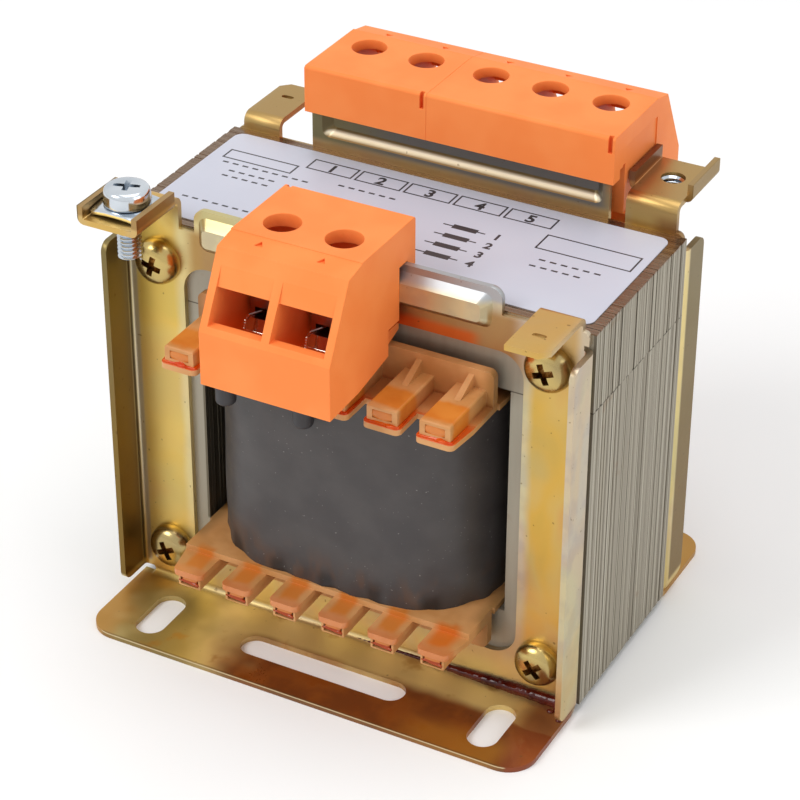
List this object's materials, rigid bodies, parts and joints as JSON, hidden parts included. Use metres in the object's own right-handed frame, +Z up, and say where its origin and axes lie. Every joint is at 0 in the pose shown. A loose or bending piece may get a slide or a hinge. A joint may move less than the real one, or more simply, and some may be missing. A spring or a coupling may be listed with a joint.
{
  "type": "laminated chassis transformer",
  "caption": "Laminated-core control transformer between two yellow-passivated pressed frames with slotted feet, moulded bobbin, taped coil and orange clip-on screw terminals.",
  "frame": {"origin": "on the mounting surface, below the middle of the laminated core", "axes": "+X to the right as seen from the side with the short terminal block, +Y from that side to the side with the long terminal row, +Z up, away from the mounting surface"},
  "size_m": [0.084, 0.083, 0.0874],
  "materials": {
    "silicon_steel": "sheared sheet edges with thin varnish",
    "passivated_steel": "yellow passivated zinc with amber varnish runs",
    "yellow_screw": "bright yellow passivated zinc",
    "bright_zinc": "bright blue-white zinc",
    "orange_plastic": "fine satin moulding",
    "bobbin_plastic": "natural moulding soaked with amber varnish",
    "copper_wire": "enamelled copper",
    "film_insulation": "film",
    "black_tape": "satin tape",
    "black_sleeve": "satin sleeve",
    "clamp_steel": "bright plated",
    "label_stock": "smooth light grey"
  },
  "bodies": {
    "root": {"e_lamination_stack": "silicon_steel", "i_lamination_stack": "silicon_steel", "bobbin": "bobbin_plastic", "primary_winding": "copper_wire", "winding_insulation": "film_insulation", "secondary_winding": "copper_wire", "outer_tape": "black_tape", "lead_sleeves": "black_sleeve", "front_frame": "passivated_steel", "rear_frame": "passivated_steel", "frame_screws": "yellow_screw", "frame_nuts": "yellow_screw", "earth_screw": "bright_zinc", "earth_washer": "bright_zinc", "front_terminal_housing": "orange_plastic", "front_terminal_clamps": "clamp_steel", "front_clamp_screws": "clamp_steel", "front_wire_leaves": "clamp_steel", "rear_two_pole_housing": "orange_plastic", "rear_two_pole_clamps": "clamp_steel", "rear_two_pole_screws": "clamp_steel", "rear_two_pole_leaves": "clamp_steel", "rear_three_pole_housing": "orange_plastic", "rear_three_pole_clamps": "clamp_steel", "rear_three_pole_screws": "clamp_steel", "rear_three_pole_leaves": "clamp_steel", "rating_label": "label_stock"}
  },
  "joints": []
}
